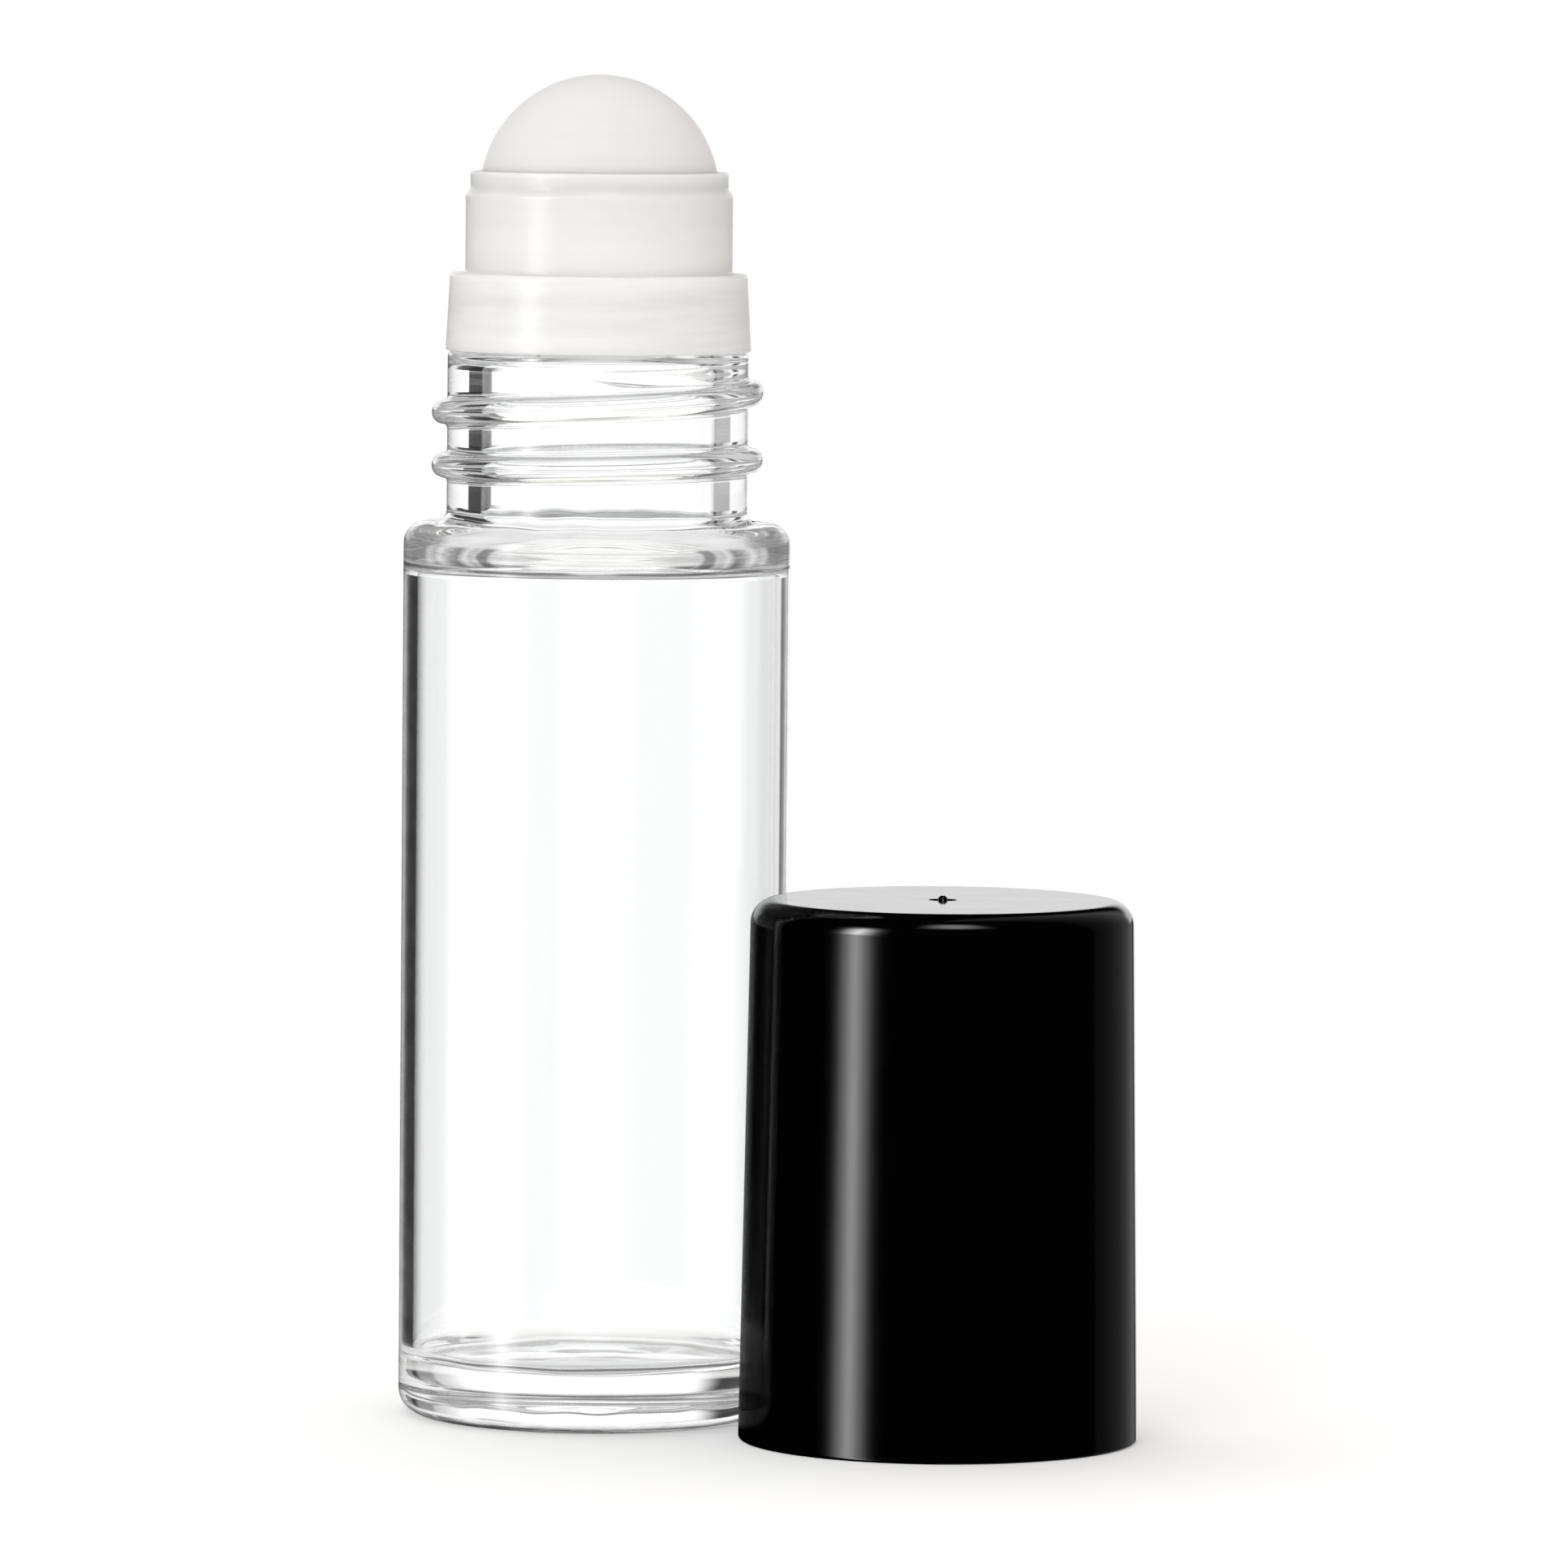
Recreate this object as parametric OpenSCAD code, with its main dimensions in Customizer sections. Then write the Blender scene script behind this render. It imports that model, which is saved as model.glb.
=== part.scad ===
// Roll-on bottle: clear glass bottle, pressed-in ball housing, roller ball and screw cap.
// The cap stands beside the bottle. Millimetres, +Z up.
// The origin is the centre of the bottle's foot, on the surface that it stands on.

/* [Glass body] */
// Outer diameter of the body
body_d = 27.8; // [25:0.1:34]
// Height of the shoulder above the surface
shoulder_z = 64.4; // [50:0.05:90]
// Thickness of the side wall
wall = 1.0; // [0.7:0.05:1.8]
// Height of the inside floor at its centre
floor_z = 4.3; // [3:0.1:7]
// How far the inside floor's edge curves up at the wall
floor_rise = 1.1; // [0.4:0.1:2.5]
// Radius of the outer corner at the foot
foot_round = 1.9; // [0.8:0.1:2.4]
// Width of the flat ring that the bottle stands on
foot_w = 1.5; // [0.8:0.1:2.5]
// Depth of the hollow under the foot
punt = 0.9; // [0.3:0.1:1.8]
// Radius of the shoulder's outer corner
shoulder_round = 1.5; // [0.8:0.1:1.9]
// Radius of the shoulder's inner corner
shoulder_in_round = 1.5; // [0.6:0.1:1.8]
// Thickness of the glass from the shoulder down to the inside, at the neck
shoulder_t = 1.75; // [1.2:0.05:2.6]
// Drop of the shoulder's underside from the bore to its inner corner
shoulder_slope = 0.35; // [0.1:0.05:0.8]

/* [Glass neck] */
// Outer diameter of the neck
neck_d = 21.65; // [20:0.05:22.2]
// Height of the neck above the shoulder
neck_h = 12.4; // [11.5:0.05:16]
// Wall of the neck round its bore
neck_wall = 2.425; // [1.5:0.005:2.6]
// Radius of the rim's corners
rim_round = 0.45; // [0.2:0.05:0.6]
// Radius of the fillet between neck and shoulder
neck_fillet = 0.9; // [0.3:0.05:1]

/* [Glass thread] */
// Height of the thread over the neck
thread_depth = 1.115; // [0.9:0.005:1.3]
// Thickness of the thread from flank to flank
thread_t = 1.7; // [1.4:0.05:1.9]
// Rise of the thread in one turn
thread_lead = 3.175; // [2.8:0.005:3.6]
// Distance from the rim down to the thread's centre line on the right
thread_drop = 2.93; // [2.6:0.01:3.6]
// Distance from the thread down to the lower ridge, on the right
ridge_drop = 4.87; // [4.7:0.01:5.4]
// Rise of the lower ridge in one turn, which is nearly level
ridge_lead = 1.02; // [0:0.01:1.2]

/* [Roller ball] */
// Diameter of the ball
ball_d = 17.2; // [16:0.05:17.6]
// Height of the ball's centre above the neck's rim
ball_up = 11.2; // [10.4:0.05:13]
// Running clearance between ball and socket
ball_gap = 0.08; // [0.04:0.01:0.12]

/* [Ball housing] */
// Wall of the socket round the ball
socket_t = 0.92; // [0.7:0.02:1.1]
// Height of the lip above the ball's centre, which keeps the ball in
lip_up = 1.64; // [1.2:0.02:2.4]
// How far the lip stands in from the cup's wall
lip_in = 0.33; // [0.15:0.01:0.4]
// Straight height of the lip
lip_h = 1.05; // [0.6:0.05:1.4]
// Height of the slope between lip and cup
lip_slope = 0.76; // [0.4:0.02:1.2]
// Height of the outer band that sits on the glass rim
band_h = 5.55; // [4.8:0.05:5.9]
// How far the band's foot stands out from the neck
band_out = 0.15; // [0:0.01:0.3]
// How far the band draws in towards its top
band_draft = 0.28; // [0:0.02:0.4]
// Least width of the ledge between band and cup
band_ledge = 0.5; // [0.3:0.05:0.8]
// Wall of the outer band
band_t = 1.0; // [0.8:0.05:1.2]
// Thickness of the web over the groove behind the band
web_t = 1.1; // [0.8:0.05:1.6]
// Length of the plug in the bore
plug_l = 7.4; // [5:0.1:11]
// Wall of the plug
plug_t = 0.9; // [0.8:0.05:1.6]
// How much smaller the plug's radius is than the bore's
plug_gap = 0.06; // [0.03:0.01:0.1]
// How far each sealing rib presses into the bore
rib_press = 0.03; // [0.01:0.01:0.06]
// Width of a sealing rib
rib_w = 0.9; // [0.6:0.1:1.2]
// Number of sealing ribs
ribs = 3; // [2:1:3]
// Radius of the hole that feeds the ball
feed_r = 3.2; // [3:0.1:3.8]

/* [Screw cap] */
// Wall of the skirt at its mouth
cap_wall = 2.02; // [1.5:0.02:2.6]
// Clearance between the cap's bore and the glass thread
cap_clear = 0.25; // [0.15:0.01:0.4]
// How far the outside draws in from mouth to top
cap_draft = 0.58; // [0.2:0.02:0.8]
// Radius of the outer corner at the top
cap_round = 1.4; // [0.8:0.1:2]
// Radius of the rim's outer edge
cap_edge = 0.25; // [0.1:0.05:0.5]
// Thickness of the top
cap_top_t = 1.8; // [1.4:0.1:2.6]
// Room from the ball up to the cap's ceiling
cap_room = 4.8; // [3:0.1:7]
// Gap between the cap's rim and the shoulder when it is screwed on
cap_seat = 0.3; // [0.1:0.05:0.6]
// Clearance between the cap and the ball housing
cap_inner_clear = 0.45; // [0.3:0.05:0.7]
// Height of the cap's thread from its bore
cap_thread_depth = 0.95; // [0.7:0.05:1]
// Thickness of the cap's thread from flank to flank
cap_thread_t = 1.1; // [0.8:0.05:1.2]
// Play between the two threads' flanks
thread_play = 0.1; // [0.05:0.01:0.15]
// Turns of the cap's thread
cap_thread_turns = 1.1; // [0.8:0.05:1.1]
// Radius of the sealing ring that presses on the ball
seal_r = 5; // [4.6:0.1:5.6]
// Wall of the sealing ring
seal_t = 0.9; // [0.6:0.05:1.2]
// How far the sealing ring presses the ball down when the cap is screwed on
seal_press = 0.05; // [0.02:0.01:0.1]
// Radius of the gate dimple in the top
dimple_r = 1; // [0.7:0.05:1.5]
// Depth of the gate dimple
dimple_depth = 0.25; // [0.1:0.05:0.5]
// Radius of the gate stub
stub_r = 0.33; // [0.2:0.01:0.5]
// Height of the gate stub above the top
stub_h = 0.3; // [0.1:0.05:0.5]

/* [Cap beside the bottle] */
// Space left between cap and bottle
stand_gap = 0.18; // [0.15:0.01:20]
// Direction from the bottle to the cap, in degrees from +X
stand_angle = -28.15; // [-80:0.05:0]

/* [Hidden] */

// Facets of a revolved shape, of an arc's quarter and of one turn of thread
revolve_n = 96;
quarter_n = 6;
turn_n = 40;
crest_n = 4;
// Overrun of cuts
over = 0.5;
// Degrees in a full turn and in half of one
turn = 360;
half_turn = turn / 2;

// Glass body
body_r = body_d / 2;
inner_r = body_r - wall;
foot_r = body_r - foot_round;
punt_r = foot_r - foot_w;
// The inside floor curves over this share of its radius
floor_curve_share = 0.19;
floor_curve = inner_r * floor_curve_share;

// Glass neck
neck_r = neck_d / 2;
bore_r = neck_r - neck_wall;
rim_z = shoulder_z + neck_h;
// The fillet leaves this share of the ledge flat
ledge = body_r - neck_r - shoulder_round;
fillet_share = 0.75;
fillet = min(neck_fillet, ledge * fillet_share);
throat_z = shoulder_z - shoulder_t;
throat_round = shoulder_t / 2;
inner_shoulder_z = throat_z - shoulder_slope;

// Glass thread: it sinks into the neck by this share of the neck's wall, to be one with it
sink_share = 0.16;
thread_sink = neck_wall * sink_share;
thread_z = rim_z - thread_drop;
thread_from = 100;
thread_turns = 1;
ridge_z = thread_z - ridge_drop;
ridge_from = 90;
ridge_turns = 1;
// Angles over which a thread and the lower ridge rise out of their wall
fade_a = 32;
ridge_fade_a = 12;
// Both start as a stub, which is this share of their section
stub_share = 0.12;

// Ball and socket
ball_r = ball_d / 2;
ball_z = rim_z + ball_up;
ball_top = ball_z + ball_r;
socket_r = ball_r + ball_gap;
cup_r = socket_r + socket_t;

// Ball housing
lip_z = ball_z + lip_up;
lip_r = cup_r - lip_in;
lip_edge = lip_in / 2;
lip_foot = lip_z - lip_h;
slope_foot = lip_foot - lip_slope;
band_z = rim_z + band_h;
band_foot_r = max(neck_r + band_out, cup_r + band_ledge + band_draft);
band_top_r = band_foot_r - band_draft;
web_z = band_z - web_t;
band_edge = band_t / 4;
band_in_r = band_foot_r - band_t;
cup_fillet = (band_top_r - cup_r) / 4;
plug_r = bore_r - plug_gap;
plug_in_r = plug_r - plug_t;
plug_z = rim_z - plug_l;
plug_nose = plug_t / 2;
rib_r = bore_r + rib_press;
rib_pitch = (plug_l - plug_nose - rib_w) / (ribs + 0.5);

// Screw cap, in its own frame with the rim at zero
crest_r = neck_r + thread_depth;
cap_bore_r = crest_r + cap_clear;
cap_r = cap_bore_r + cap_wall;
cap_top_r = cap_r - cap_draft;
cap_z = shoulder_z + cap_seat;
cap_h = ball_top - cap_z + cap_room + cap_top_t;
cap_ceiling = cap_h - cap_top_t;
cap_inner_r = band_foot_r + cap_inner_clear;
cap_inner_top_r = cap_inner_r - cap_draft / 2;
cap_step_z = rim_z - cap_z - cap_inner_clear;
cap_step_h = abs(cap_bore_r - cap_inner_r);
cap_ceiling_round = cap_top_t / 2;
// Half a flank's thickness of each thread and the play lie between their centre lines
cap_thread_z = thread_z - cap_z - (thread_t + cap_thread_t) / 2 - thread_play;
cap_thread_from = 150;
// The ring's round nose touches the ball where their centres lie both radii apart
nose_r = seal_t / 2;
nose_z = ball_z + sqrt(pow(ball_r + nose_r, 2) - pow(seal_r, 2)) - seal_press - cap_z;
cap_distance = body_r + cap_r + stand_gap;
cap_place = [cap_distance * cos(stand_angle), cap_distance * sin(stand_angle), 0];

// Points of an arc, from one angle to another; with two radii it is a stretch of an ellipse
function arc(x, y, r, from, to, ry) =
    let (r2 = is_undef(ry) ? r : ry)
    [for (i = [0:quarter_n])
        let (a = from + (to - from) * i / quarter_n)
        [x + r * cos(a), y + r2 * sin(a)]];

// How far a thread has risen out of its wall, from a small stub to one, at angle a
function risen(a, sweep, fade) =
    let (near = min(a, sweep - a) / fade)
    near >= 1 ? 1 : stub_share + (1 - stub_share) * (1 - cos(near * half_turn)) / 2;

// Section of a thread: [out from the wall, along the axis], with a round crest
function thread_section(depth, half, sink) =
    let (crest = min(half, depth))
    concat(
        [[-sink, -half]],
        [for (i = [0:crest_n * 2])
            let (a = -90 + 90 * i / crest_n)
            [depth - crest + crest * cos(a), half * sin(a)]],
        [[-sink, half]]);

// Helical thread on a wall of radius r; side is 1 outside a neck and -1 inside a cap
module thread(r, side, depth, thick, sink, z, lead, from, turns, fade = fade_a) {
    section = thread_section(depth, thick / 2, sink);
    n = len(section);
    sweep = turns * turn;
    steps = round(turns * turn_n);
    points = [for (s = [0:steps])
        let (a = sweep * s / steps, f = risen(a, sweep, fade), angle = from + a)
        for (p = section)
            let (out = r + side * (f * (p[0] + sink) - sink))
            [out * cos(angle), out * sin(angle),
             z + lead * (angle - turn) / turn + p[1] * (1 + f) / 2]];
    sides = [for (s = [0:steps - 1], i = [0:n - 1])
        let (j = (i + 1) % n, a = s * n + i, b = s * n + j, c = b + n, d = a + n)
        each [[a, b, c], [a, c, d]]];
    first = [for (i = [0:n - 1]) n - 1 - i];
    last = [for (i = [0:n - 1]) steps * n + i];
    faces = concat(sides, [first], [last]);
    turned = [for (f = faces) [for (i = [len(f) - 1:-1:0]) f[i]]];
    polyhedron(points, side > 0 ? faces : turned, convexity = 8);
}

// Half section of the glass, from the foot up the outside and down the inside
module glass_section() {
    polygon(concat(
        [for (i = [0:quarter_n])
            let (t = i / quarter_n)
            [punt_r * t, punt * (1 + cos(half_turn * t)) / 2]],
        arc(foot_r, foot_round, foot_round, -90, 0),
        arc(body_r - shoulder_round, shoulder_z - shoulder_round, shoulder_round, 0, 90),
        arc(neck_r + fillet, shoulder_z + fillet, fillet, 270, 180),
        arc(neck_r - rim_round, rim_z - rim_round, rim_round, 0, 90),
        arc(bore_r + rim_round, rim_z - rim_round, rim_round, 90, 180),
        arc(bore_r + throat_round, throat_z + throat_round, throat_round, 180, 270),
        arc(inner_r - shoulder_in_round, inner_shoulder_z - shoulder_in_round,
            shoulder_in_round, 90, 0),
        arc(inner_r - floor_curve, floor_z + floor_rise, floor_curve, 0, -90, floor_rise),
        [[0, floor_z]]));
}

module glass_bottle() color([0.82, 0.9, 0.9, 0.4]) {
    union() {
        rotate_extrude($fn = revolve_n) glass_section();
        thread(neck_r, 1, thread_depth, thread_t, thread_sink, thread_z,
            thread_lead, thread_from, thread_turns);
        thread(neck_r, 1, thread_depth, thread_t, thread_sink, ridge_z,
            ridge_lead, ridge_from, ridge_turns, ridge_fade_a);
    }
}

// Outline of the housing filled to the axis: plug with ribs, groove, band, cup and lip
module housing_outline() {
    polygon(concat(
        [[0, plug_z], [plug_r - plug_nose / 2, plug_z], [plug_r, plug_z + plug_nose]],
        [for (i = [0:ribs - 1])
            let (z = plug_z + plug_nose + rib_pitch * (i + 0.5))
            each [[plug_r, z], [rib_r, z + rib_w / 3], [rib_r, z + rib_w * 2 / 3],
                  [plug_r, z + rib_w]]],
        [[plug_r, web_z], [band_in_r, web_z], [band_in_r, rim_z]],
        [[band_foot_r, rim_z]],
        arc(band_top_r - band_edge, band_z - band_edge, band_edge, 0, 90),
        arc(cup_r + cup_fillet, band_z + cup_fillet, cup_fillet, 270, 180),
        [[cup_r, slope_foot]],
        arc(lip_r, slope_foot, lip_in, 0, 90, lip_slope),
        arc(lip_r - lip_edge, lip_z - lip_edge, lip_edge, 0, 90),
        [[0, lip_z]]));
}

module housing_section() {
    difference() {
        housing_outline();
        // Socket for the ball
        translate([0, ball_z]) circle(r = socket_r, $fn = revolve_n);
        // Hollow of the plug, up to the web and the socket's underside
        difference() {
            translate([-over, plug_z - over])
                square([plug_in_r + over, web_z - plug_z + over]);
            translate([0, ball_z]) circle(r = cup_r, $fn = revolve_n);
        }
        // Hole that feeds the ball
        translate([-over, plug_z - over]) square([feed_r + over, ball_z - plug_z + over]);
    }
}

module ball_housing() color([0.93, 0.93, 0.92, 0.8]) {
    rotate_extrude($fn = revolve_n) housing_section();
}

module roller_ball() color([0.95, 0.95, 0.94]) {
    translate([0, 0, ball_z]) sphere(r = ball_r, $fn = revolve_n);
}

// Half section of the cap, from its rim up the outside, the gate mark, then the inside
module cap_section() {
    polygon(concat(
        [[cap_bore_r, cap_edge], [cap_bore_r + cap_edge, 0]],
        arc(cap_r - cap_edge, cap_edge, cap_edge, -90, 0),
        arc(cap_top_r - cap_round, cap_h - cap_round, cap_round, 0, 90),
        [[dimple_r, cap_h], [dimple_r - dimple_depth, cap_h - dimple_depth]],
        [[stub_r, cap_h - dimple_depth], [stub_r, cap_h + stub_h / 2]],
        [[stub_r / 2, cap_h + stub_h], [0, cap_h + stub_h]],
        [[0, cap_ceiling], [seal_r - nose_r, cap_ceiling]],
        arc(seal_r, nose_z, nose_r, 180, 270),
        arc(seal_r, nose_z, nose_r, 270, turn),
        [[seal_r + nose_r, cap_ceiling]],
        arc(cap_inner_top_r - cap_ceiling_round, cap_ceiling - cap_ceiling_round,
            cap_ceiling_round, 90, 0),
        [[cap_inner_r, cap_step_z], [cap_bore_r, cap_step_z - cap_step_h]]));
}

module screw_cap() color([0.06, 0.06, 0.06]) {
    translate(cap_place) union() {
        rotate_extrude($fn = revolve_n) cap_section();
        thread(cap_bore_r, -1, cap_thread_depth, cap_thread_t, cap_wall * sink_share, cap_thread_z,
            thread_lead, cap_thread_from, cap_thread_turns);
    }
}

glass_bottle();
ball_housing();
roller_ball();
screw_cap();
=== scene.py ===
import bmesh
import bpy
from math import asin, atan2, cos, degrees, pi, radians, sin
from mathutils import Matrix, Vector, noise


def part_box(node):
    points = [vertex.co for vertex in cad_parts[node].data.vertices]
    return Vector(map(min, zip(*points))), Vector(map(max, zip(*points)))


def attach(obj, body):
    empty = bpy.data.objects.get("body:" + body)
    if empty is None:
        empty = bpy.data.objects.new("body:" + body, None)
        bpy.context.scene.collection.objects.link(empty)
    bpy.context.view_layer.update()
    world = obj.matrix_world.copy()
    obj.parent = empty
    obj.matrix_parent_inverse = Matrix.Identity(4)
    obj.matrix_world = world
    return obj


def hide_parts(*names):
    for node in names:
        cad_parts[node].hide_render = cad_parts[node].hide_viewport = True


# Roll-on bottle on a white studio table, its cap taken off and stood beside it.
# Outlines are [distance from the axis, height] in millimetres; meshes are in metres.

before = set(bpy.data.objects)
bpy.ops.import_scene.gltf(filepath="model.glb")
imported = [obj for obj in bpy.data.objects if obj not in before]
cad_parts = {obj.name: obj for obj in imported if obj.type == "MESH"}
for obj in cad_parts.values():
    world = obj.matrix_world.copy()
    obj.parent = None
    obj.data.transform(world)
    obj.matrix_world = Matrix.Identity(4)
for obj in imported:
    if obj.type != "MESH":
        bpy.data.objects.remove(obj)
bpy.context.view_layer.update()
mm = 0.001
samePlace = 1e-7  # metres; closer vertices are one
print("frame loaded")


def boxOf(node):
    low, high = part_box(node)
    return low / mm, high / mm


glassLow, glassHigh = boxOf("glass_bottle")
housingLow, housingHigh = boxOf("ball_housing")
ballLow, ballHigh = boxOf("roller_ball")
capLow, capHigh = boxOf("screw_cap")


# Outline and mesh helpers

def arc(centre, radius, start, end, steps=10):
    across, up = radius if isinstance(radius, tuple) else (radius, radius)
    turns = [radians(start + (end - start) * step / steps) for step in range(steps + 1)]
    return [(centre[0] + across * cos(turn), centre[1] + up * sin(turn)) for turn in turns]


def guarded(outline, near=0.1, longest=0.8, tooClose=1e-5):
    # a row close to both ends of each long stretch keeps the smooth shading of corners off the flats
    rows = [outline[0]]
    for start, end in zip(outline, outline[1:]):
        a, b = Vector(start), Vector(end)
        if (b - a).length > longest:
            step = (b - a).normalized() * near
            rows += [tuple(a + step), tuple(b - step)]
        if (b - Vector(rows[-1])).length > tooClose:
            rows.append(end)
    return rows


def revolve(outline, around):
    bm = bmesh.new()
    verts = [bm.verts.new((across * mm, 0, up * mm)) for across, up in outline]
    edges = [bm.edges.new(pair) for pair in zip(verts, verts[1:])]
    bmesh.ops.spin(bm, geom=verts + edges, cent=(0, 0, 0), axis=(0, 0, 1), angle=2 * pi,
                   steps=around, use_merge=True)
    bmesh.ops.remove_doubles(bm, verts=bm.verts, dist=samePlace)
    bmesh.ops.recalc_face_normals(bm, faces=bm.faces)
    return bm


def addPiece(bm, name, node, body, material):
    mesh = bpy.data.meshes.new(name)
    bm.to_mesh(mesh)
    bm.free()
    mesh.shade_smooth()
    mesh.materials.append(material)
    piece = bpy.data.objects.new(name, mesh)
    bpy.context.scene.collection.objects.link(piece)
    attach(piece, body)
    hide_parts(node)
    print(name, "made,", len(mesh.polygons), "faces")


# Node helpers

def addNode(tree, kind, inputs, **settings):
    made = tree.nodes.new("ShaderNode" + kind)
    for name, value in settings.items():
        setattr(made, name, value)
    for socket, value in inputs.items():
        if isinstance(value, bpy.types.NodeSocket):
            tree.links.new(value, made.inputs[socket])
        else:
            made.inputs[socket].default_value = value
    return made


def maths(tree, operation, a, b=0.0, c=0.0):
    return addNode(tree, "Math", {0: a, 1: b, 2: c}, operation=operation).outputs[0]


def times(tree, a, b, plus=None):
    if plus is None:
        return maths(tree, "MULTIPLY", a, b)
    return maths(tree, "MULTIPLY_ADD", a, b, plus)


def fade(tree, value, start, end):
    # 0 at start, 1 at end, smooth between
    made = addNode(tree, "MapRange", {"Value": value, "From Min": start, "From Max": end},
                   interpolation_type="SMOOTHSTEP")
    return made.outputs["Result"]


def window(tree, value, start, end, softStart, softEnd):
    rise = fade(tree, value, start - softStart, start + softStart)
    fall = fade(tree, value, end + softEnd, end - softEnd)
    return times(tree, rise, fall)


def rising(tree, length, span):
    # fade over a span that is given in millimetres
    return fade(tree, length, *[end * mm for end in span])


def within(tree, length, span):
    # window over a span that is given in millimetres: start, end and how soft each of them is
    return window(tree, length, *[end * mm for end in span])


def blend(tree, share, a, b):
    # a where share is 0, b where it is 1
    return addNode(tree, "Mix", {0: share, 2: a, 3: b}).outputs[0]


def tint(tree, share, a, b):
    # the same for colours
    return addNode(tree, "Mix", {0: share, 6: a, 7: b}, data_type="RGBA").outputs[2]


def grey(level):
    return level, level, level, 1


def shade(tree, kind, inputs):
    return addNode(tree, kind, inputs).outputs[0]


def glow(tree, strength, colour=(1, 1, 1, 1)):
    return shade(tree, "Emission", {"Color": colour, "Strength": strength})


def layer(tree, share, under, over):
    # the shader over the other by this share
    return shade(tree, "MixShader", {0: share, 1: under, 2: over})


def ramp(tree, value, stops):
    # stops are (place, grey, share); returns the grey and the share
    made = addNode(tree, "ValToRGB", {0: value})
    line = made.color_ramp
    while len(line.elements) < len(stops):
        line.elements.new(0.5)
    for element, (place, grey, share) in zip(line.elements, stops):
        element.position = place
        element.color = (grey, grey, grey, share)
    return made.outputs["Color"], made.outputs["Alpha"]


def objectPlace(tree):
    return addNode(tree, "TexCoord", {}).outputs["Object"]


def streaks(tree, wave):
    # noise drawn out round the axis; wave is its length in height, its length round the part and its detail
    up, along, detail = wave
    scale = (1 / (along * mm), 1 / (along * mm), 1 / (up * mm))
    drawn = addNode(tree, "Mapping", {"Vector": objectPlace(tree), "Scale": scale}).outputs[0]
    return addNode(tree, "TexNoise", {"Vector": drawn, "Scale": 1.0, "Detail": detail}).outputs[0]


def patches(tree, form):
    # streaks with clear ends, from the least level to the most
    drawn = fade(tree, streaks(tree, form["wave"]), *form["ends"])
    return times(tree, drawn, form["most"] - form["least"], form["least"])


def newMaterial(name):
    material = bpy.data.materials.new(name)
    material.use_nodes = True
    tree = material.node_tree
    tree.nodes.clear()
    output = tree.nodes.new("ShaderNodeOutputMaterial")
    return material, tree, output


# Materials

glassLook = {
    "colour": (0.985, 0.99, 0.988, 1), "index": 1.5,
    # the ring that it stands on is darkened with painted shade: below these heights, and in the hollow to
    # these radii
    "paintedFootShade": 0.12, "footShadeHeights": (0.4, 1.25), "footShadeRadii": (11.2, 10.4),
    "footShadeWave": (1.0, 1.6, 3.0), "footShadeWander": 0.5,
    # its thick base throws more shadow than its walls
    "baseShadow": 0.55, "wallShadow": (0.9, 0.91, 0.91, 1), "wallShadowFrom": (1.0, 6.0),
    # the glass shows only faintly in the cap's gloss; a ray crosses four skins on its way through the bottle
    "lostInGloss": 0.93, "skins": 4.0,
    # painted light: where light has been mirrored this often the glass glows evenly, with swirls, or with
    # broad bands in the shoulder
    "evenAfter": 4.5, "evenAfterInShoulder": 2.5, "shoulder": (61.5, 66.5, 0.3, 0.3),
    "evenBase": 0.85, "evenWalls": 0.34, "evenNeck": 0.47, "wallsFrom": (6, 20), "neckFrom": (60, 63),
    "glowSwirl": {"wave": (1.5, 4.0, 1.0), "ends": (0.3, 0.7), "least": 0.4, "most": 1.6},
    "glowBands": {"wave": (3.0, 14.0, 0.0), "ends": (0.3, 0.7), "least": 0.45, "most": 1.55},
    "heelLevel": 1.15, "heelFrom": (5, 3),
}
# The shoulder where it is seen directly, painted with light and shade for what the glass bends there. A side
# of 0 faces the viewer and 1 is its outline;
# stops are (side, grey, share), and heights are (start, end, softness of each).
paintedShoulderLook = {
    "outside": 12.3, "wave": (1.0, 3.0, 1.0), "wander": 0.04,
    # painted light: towards the viewer it is nearly white, and more so on its top
    "paintedWhite": 0.9, "whiteHeights": (62.0, 64.6, 0.2, 0.1), "whiteSides": (0.42, 0.18),
    "whiteShare": 0.4, "whiteTopShare": 0.78, "whiteTopFrom": (63.4, 63.7),
    # painted bands of light and shade are drawn towards both sides of the view, bowed about their middle
    # height
    "heights": (61.75, 63.85, 0.12, 0.12), "upperFrom": (62.95, 63.2),
    "bowMiddle": 62.4, "bowHalf": 0.8, "bow": 0.05,
    "lowerStops": [
        (0.15, 0.9, 0.0), (0.175, 0.15, 0.7), (0.205, 0.11, 0.7), (0.225, 0.6, 0.65), (0.25, 0.5, 0.65),
        (0.275, 0.8, 0.7), (0.315, 0.17, 0.75), (0.35, 0.3, 0.75), (0.415, 0.8, 0.7), (0.46, 0.45, 0.65),
        (0.51, 0.6, 0.65), (0.56, 0.2, 0.7), (0.65, 0.17, 0.7), (0.8, 0.22, 0.6), (1.0, 0.2, 0.3)],
    "upperStops": [
        (0.08, 0.9, 0.0), (0.2, 0.9, 0.6), (0.36, 0.85, 0.65), (0.42, 0.4, 0.65), (0.5, 0.24, 0.65),
        (0.62, 0.2, 0.65), (0.75, 0.28, 0.6), (1.0, 0.2, 0.3)],
    # under them the edge of the inner shoulder is painted as a thin dark line of shade
    "line": 0.06, "lineHeights": (61.3, 61.52, 0.09, 0.09),
    "lineShare": {"wave": (3.0, 5.0, 1.0), "ends": (0.35, 0.6), "least": 0.36, "most": 0.76},
}


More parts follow.
